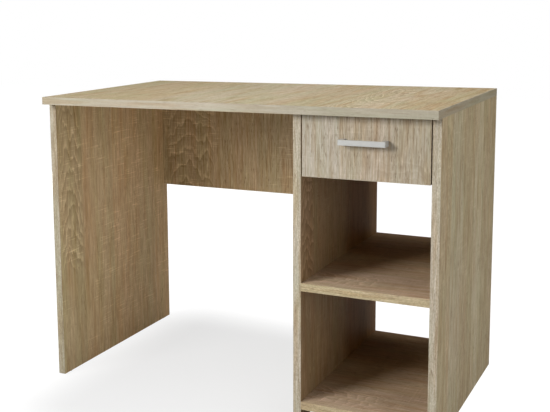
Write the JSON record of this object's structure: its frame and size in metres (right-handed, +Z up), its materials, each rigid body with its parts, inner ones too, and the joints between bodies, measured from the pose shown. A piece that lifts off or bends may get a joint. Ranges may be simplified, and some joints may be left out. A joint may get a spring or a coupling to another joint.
{
  "type": "computer desk",
  "caption": "Straight computer desk: board top on upright panels, modesty panel behind the knee space, and a cabinet at one end with a drawer over open shelves.",
  "frame": {"origin": "on the floor, under the middle of the desktop", "axes": "+X along the desk's width to the cabinet end, +Y from the user's side to the back edge, +Z up"},
  "size_m": [1.014, 0.598, 0.75],
  "materials": {
    "oak_board": "matt light oak melamine on chipboard",
    "oak_edge_band": "matt light oak plastic edge band",
    "oak_foil": "matt light oak foil",
    "hardboard": "smooth hardboard",
    "zinc": "satin zinc die casting",
    "plated_steel": "bright zinc plating",
    "beech": "bare beech",
    "runner_enamel": "powder coat",
    "nylon": "moulded nylon",
    "glide_plastic": "moulded plastic",
    "handle_satin": "satin nickel on cast zinc"
  },
  "bodies": {
    "desk_frame": {"desk_top": "oak_board", "top_edge_bands": "oak_edge_band", "left_side_panel": "oak_board", "left_side_edge_bands": "oak_edge_band", "cabinet_inner_side": "oak_board", "inner_side_edge_bands": "oak_edge_band", "cabinet_outer_side": "oak_board", "outer_side_edge_bands": "oak_edge_band", "modesty_panel": "oak_board", "modesty_edge_band": "oak_edge_band", "middle_shelf": "oak_board", "middle_shelf_edge_bands": "oak_edge_band", "bottom_shelf": "oak_board", "bottom_shelf_edge_bands": "oak_edge_band", "cam_housings": "zinc", "cam_bolts": "plated_steel", "carcass_dowels": "beech", "floor_glides": "glide_plastic", "glide_nails": "plated_steel", "cabinet_runner_left": "runner_enamel", "cabinet_runner_right": "runner_enamel", "cabinet_roller_axles": "plated_steel", "cabinet_runner_screws": "plated_steel"},
    "drawer": {"drawer_front": "oak_board", "drawer_front_edge_bands": "oak_edge_band", "drawer_left_side": "oak_board", "drawer_left_side_band": "oak_foil", "drawer_right_side": "oak_board", "drawer_right_side_band": "oak_foil", "drawer_back": "oak_board", "drawer_back_band": "oak_foil", "drawer_bottom": "hardboard", "drawer_cam_housings": "zinc", "drawer_cam_bolts": "plated_steel", "drawer_dowels": "beech", "drawer_runner_left": "runner_enamel", "drawer_runner_right": "runner_enamel", "drawer_roller_axles": "plated_steel", "drawer_runner_screws": "plated_steel", "drawer_back_screws": "plated_steel", "handle": "handle_satin", "handle_screws": "plated_steel"},
    "cabinet_roller_left": {"cabinet_roller_left": "nylon"},
    "cabinet_roller_right": {"cabinet_roller_right": "nylon"},
    "drawer_roller_left": {"drawer_roller_left": "nylon"},
    "drawer_roller_right": {"drawer_roller_right": "nylon"}
  },
  "joints": [
    {"name": "drawer_slide", "type": "slide", "parent": "desk_frame", "child": "drawer", "axis": [0, -1, 0], "range_m": [0, 0.3]},
    {"name": "cabinet_roller_left_spin", "type": "hinge", "parent": "desk_frame", "child": "cabinet_roller_left", "pos_m": [0.19625, -0.235, 0.6075], "axis": [1, 0, 0], "continuous": true},
    {"name": "drawer_roller_left_spin", "type": "hinge", "parent": "drawer", "child": "drawer_roller_left", "pos_m": [0.19625, 0.137, 0.6063], "axis": [1, 0, 0], "continuous": true},
    {"name": "cabinet_roller_right_spin", "type": "hinge", "parent": "desk_frame", "child": "cabinet_roller_right", "pos_m": [0.48175, -0.235, 0.6075], "axis": [1, 0, 0], "continuous": true},
    {"name": "drawer_roller_right_spin", "type": "hinge", "parent": "drawer", "child": "drawer_roller_right", "pos_m": [0.48175, 0.137, 0.6063], "axis": [1, 0, 0], "continuous": true}
  ],
  "couplings": [
    {"joint": "cabinet_roller_left_spin", "follows": "drawer_slide", "rad_per_m": 105.26},
    {"joint": "drawer_roller_left_spin", "follows": "drawer_slide", "rad_per_m": 105.26},
    {"joint": "cabinet_roller_right_spin", "follows": "drawer_slide", "rad_per_m": 105.26},
    {"joint": "drawer_roller_right_spin", "follows": "drawer_slide", "rad_per_m": 105.26}
  ]
}
